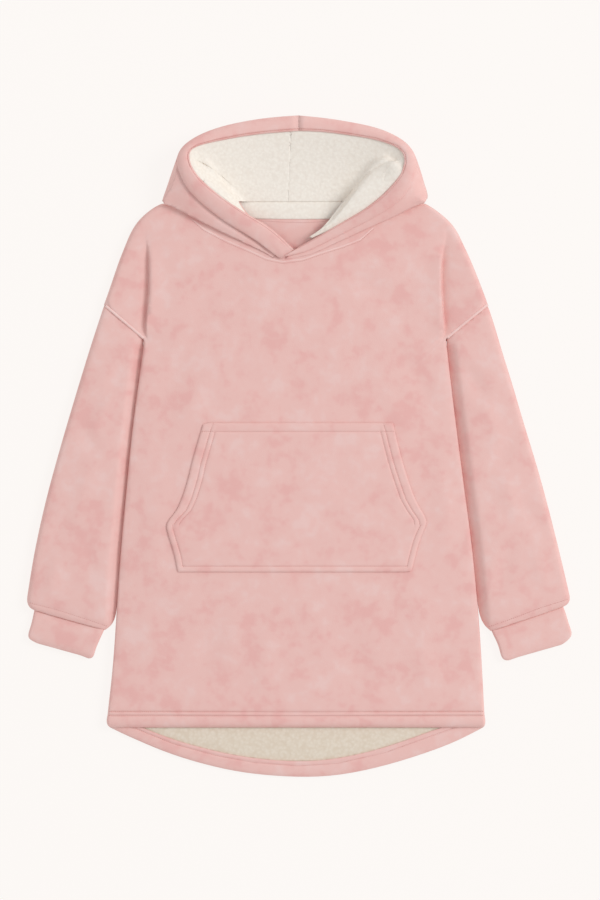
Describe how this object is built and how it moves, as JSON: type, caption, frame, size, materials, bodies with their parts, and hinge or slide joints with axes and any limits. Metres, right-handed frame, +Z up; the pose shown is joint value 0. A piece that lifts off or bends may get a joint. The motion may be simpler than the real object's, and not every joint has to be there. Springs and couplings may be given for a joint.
{
  "type": "wearable blanket hoodie",
  "caption": "Oversized hooded blanket top laid flat: plush flannel with drop shoulders, cuffed sleeves, kangaroo pocket and curved back tail; sherpa lining shows in the open hood.",
  "frame": {"origin": "on the surface the garment lies on, under the middle of its bounding box", "axes": "+X across the garment to the viewer's right, +Y from hem to hood, +Z up from the surface through the garment's thickness"},
  "size_m": [0.899, 1.094, 0.068],
  "materials": {
    "flannel": "dusty pink plush flannel fleece, short brushed pile with a soft mottled nap",
    "sherpa": "cream sherpa fleece, curled fluffy pile"
  },
  "bodies": {
    "root": {"body_front": "flannel", "body_back": "flannel", "sleeve_left": "flannel", "sleeve_right": "flannel", "cuff_left": "flannel", "cuff_right": "flannel", "pocket": "flannel", "tail_hem": "flannel", "tail_lining": "sherpa", "hood_left": "flannel", "hood_right": "flannel", "hood_band_left": "flannel", "hood_band_right": "flannel", "hood_lining_left": "sherpa", "hood_lining_right": "sherpa", "neck_facing": "flannel", "neck_strip": "sherpa"}
  },
  "joints": []
}
